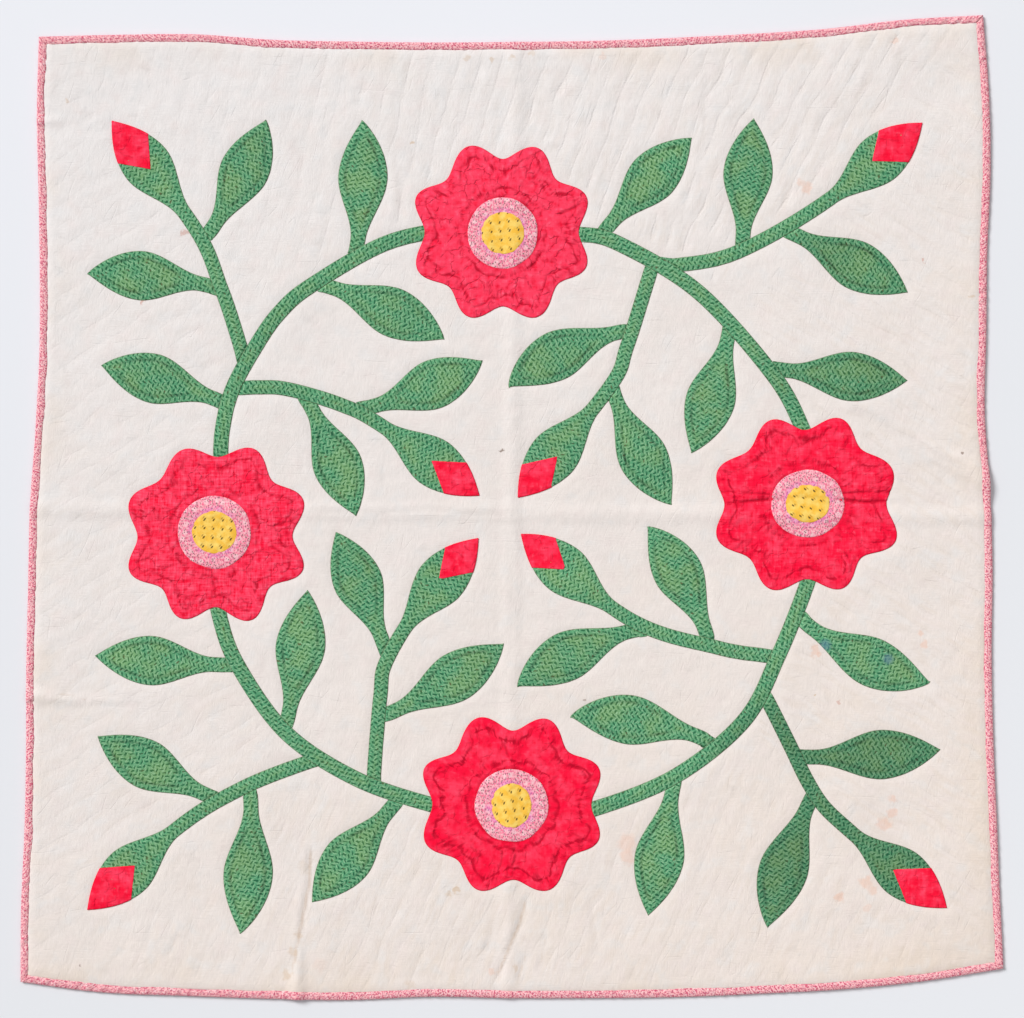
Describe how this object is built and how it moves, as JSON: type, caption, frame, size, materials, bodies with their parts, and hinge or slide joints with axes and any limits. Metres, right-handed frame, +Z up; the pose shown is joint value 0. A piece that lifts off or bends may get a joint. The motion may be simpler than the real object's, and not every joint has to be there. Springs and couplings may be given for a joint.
{
  "type": "crib quilt",
  "caption": "Square padded crib quilt with a white quilted ground, printed binding and an appliqued wreath of roses, vines, buds and leaves, lying flat.",
  "frame": {"origin": "centre of the quilt's bounding box, on the surface it lies on", "axes": "+X to the quilt's right as seen from above, +Y to its top edge, +Z up out of the appliqued face"},
  "size_m": [0.964, 0.9659, 0.0091],
  "materials": {
    "white_cotton": "matt plain weave",
    "pink_print": "matt printed cotton",
    "green_print": "matt printed cotton",
    "red_cotton": "matt dyed cotton",
    "rose_disc_print": "matt printed cotton",
    "yellow_print": "matt printed cotton"
  },
  "bodies": {
    "root": {"quilted_ground": "white_cotton", "binding_top": "pink_print", "binding_right": "pink_print", "binding_bottom": "pink_print", "binding_left": "pink_print", "vine_nw": "green_print", "vine_ne": "green_print", "vine_se": "green_print", "vine_sw": "green_print", "branch_nw_outer": "green_print", "branch_nw_inner": "green_print", "branch_ne_outer": "green_print", "branch_ne_inner": "green_print", "branch_se_outer": "green_print", "branch_se_inner": "green_print", "branch_sw_outer": "green_print", "branch_sw_inner": "green_print", "leaf_nw_1": "green_print", "leaf_nw_2": "green_print", "leaf_nw_3": "green_print", "leaf_nw_4": "green_print", "leaf_nw_5": "green_print", "leaf_nw_6": "green_print", "leaf_nw_7": "green_print", "leaf_ne_1": "green_print", "leaf_ne_2": "green_print", "leaf_ne_3": "green_print", "leaf_ne_4": "green_print", "leaf_ne_5": "green_print", "leaf_ne_6": "green_print", "leaf_ne_7": "green_print", "leaf_se_1": "green_print", "leaf_se_2": "green_print", "leaf_se_3": "green_print", "leaf_se_4": "green_print", "leaf_se_5": "green_print", "leaf_se_6": "green_print", "leaf_se_7": "green_print", "leaf_sw_1": "green_print", "leaf_sw_2": "green_print", "leaf_sw_3": "green_print", "leaf_sw_4": "green_print", "leaf_sw_5": "green_print", "leaf_sw_6": "green_print", "leaf_sw_7": "green_print", "rose_top": "red_cotton", "rose_left": "red_cotton", "rose_right": "red_cotton", "rose_bottom": "red_cotton", "rose_disc_top": "rose_disc_print", "rose_disc_left": "rose_disc_print", "rose_disc_right": "rose_disc_print", "rose_disc_bottom": "rose_disc_print", "rose_centre_top": "yellow_print", "rose_centre_left": "yellow_print", "rose_centre_right": "yellow_print", "rose_centre_bottom": "yellow_print"}
  },
  "joints": []
}
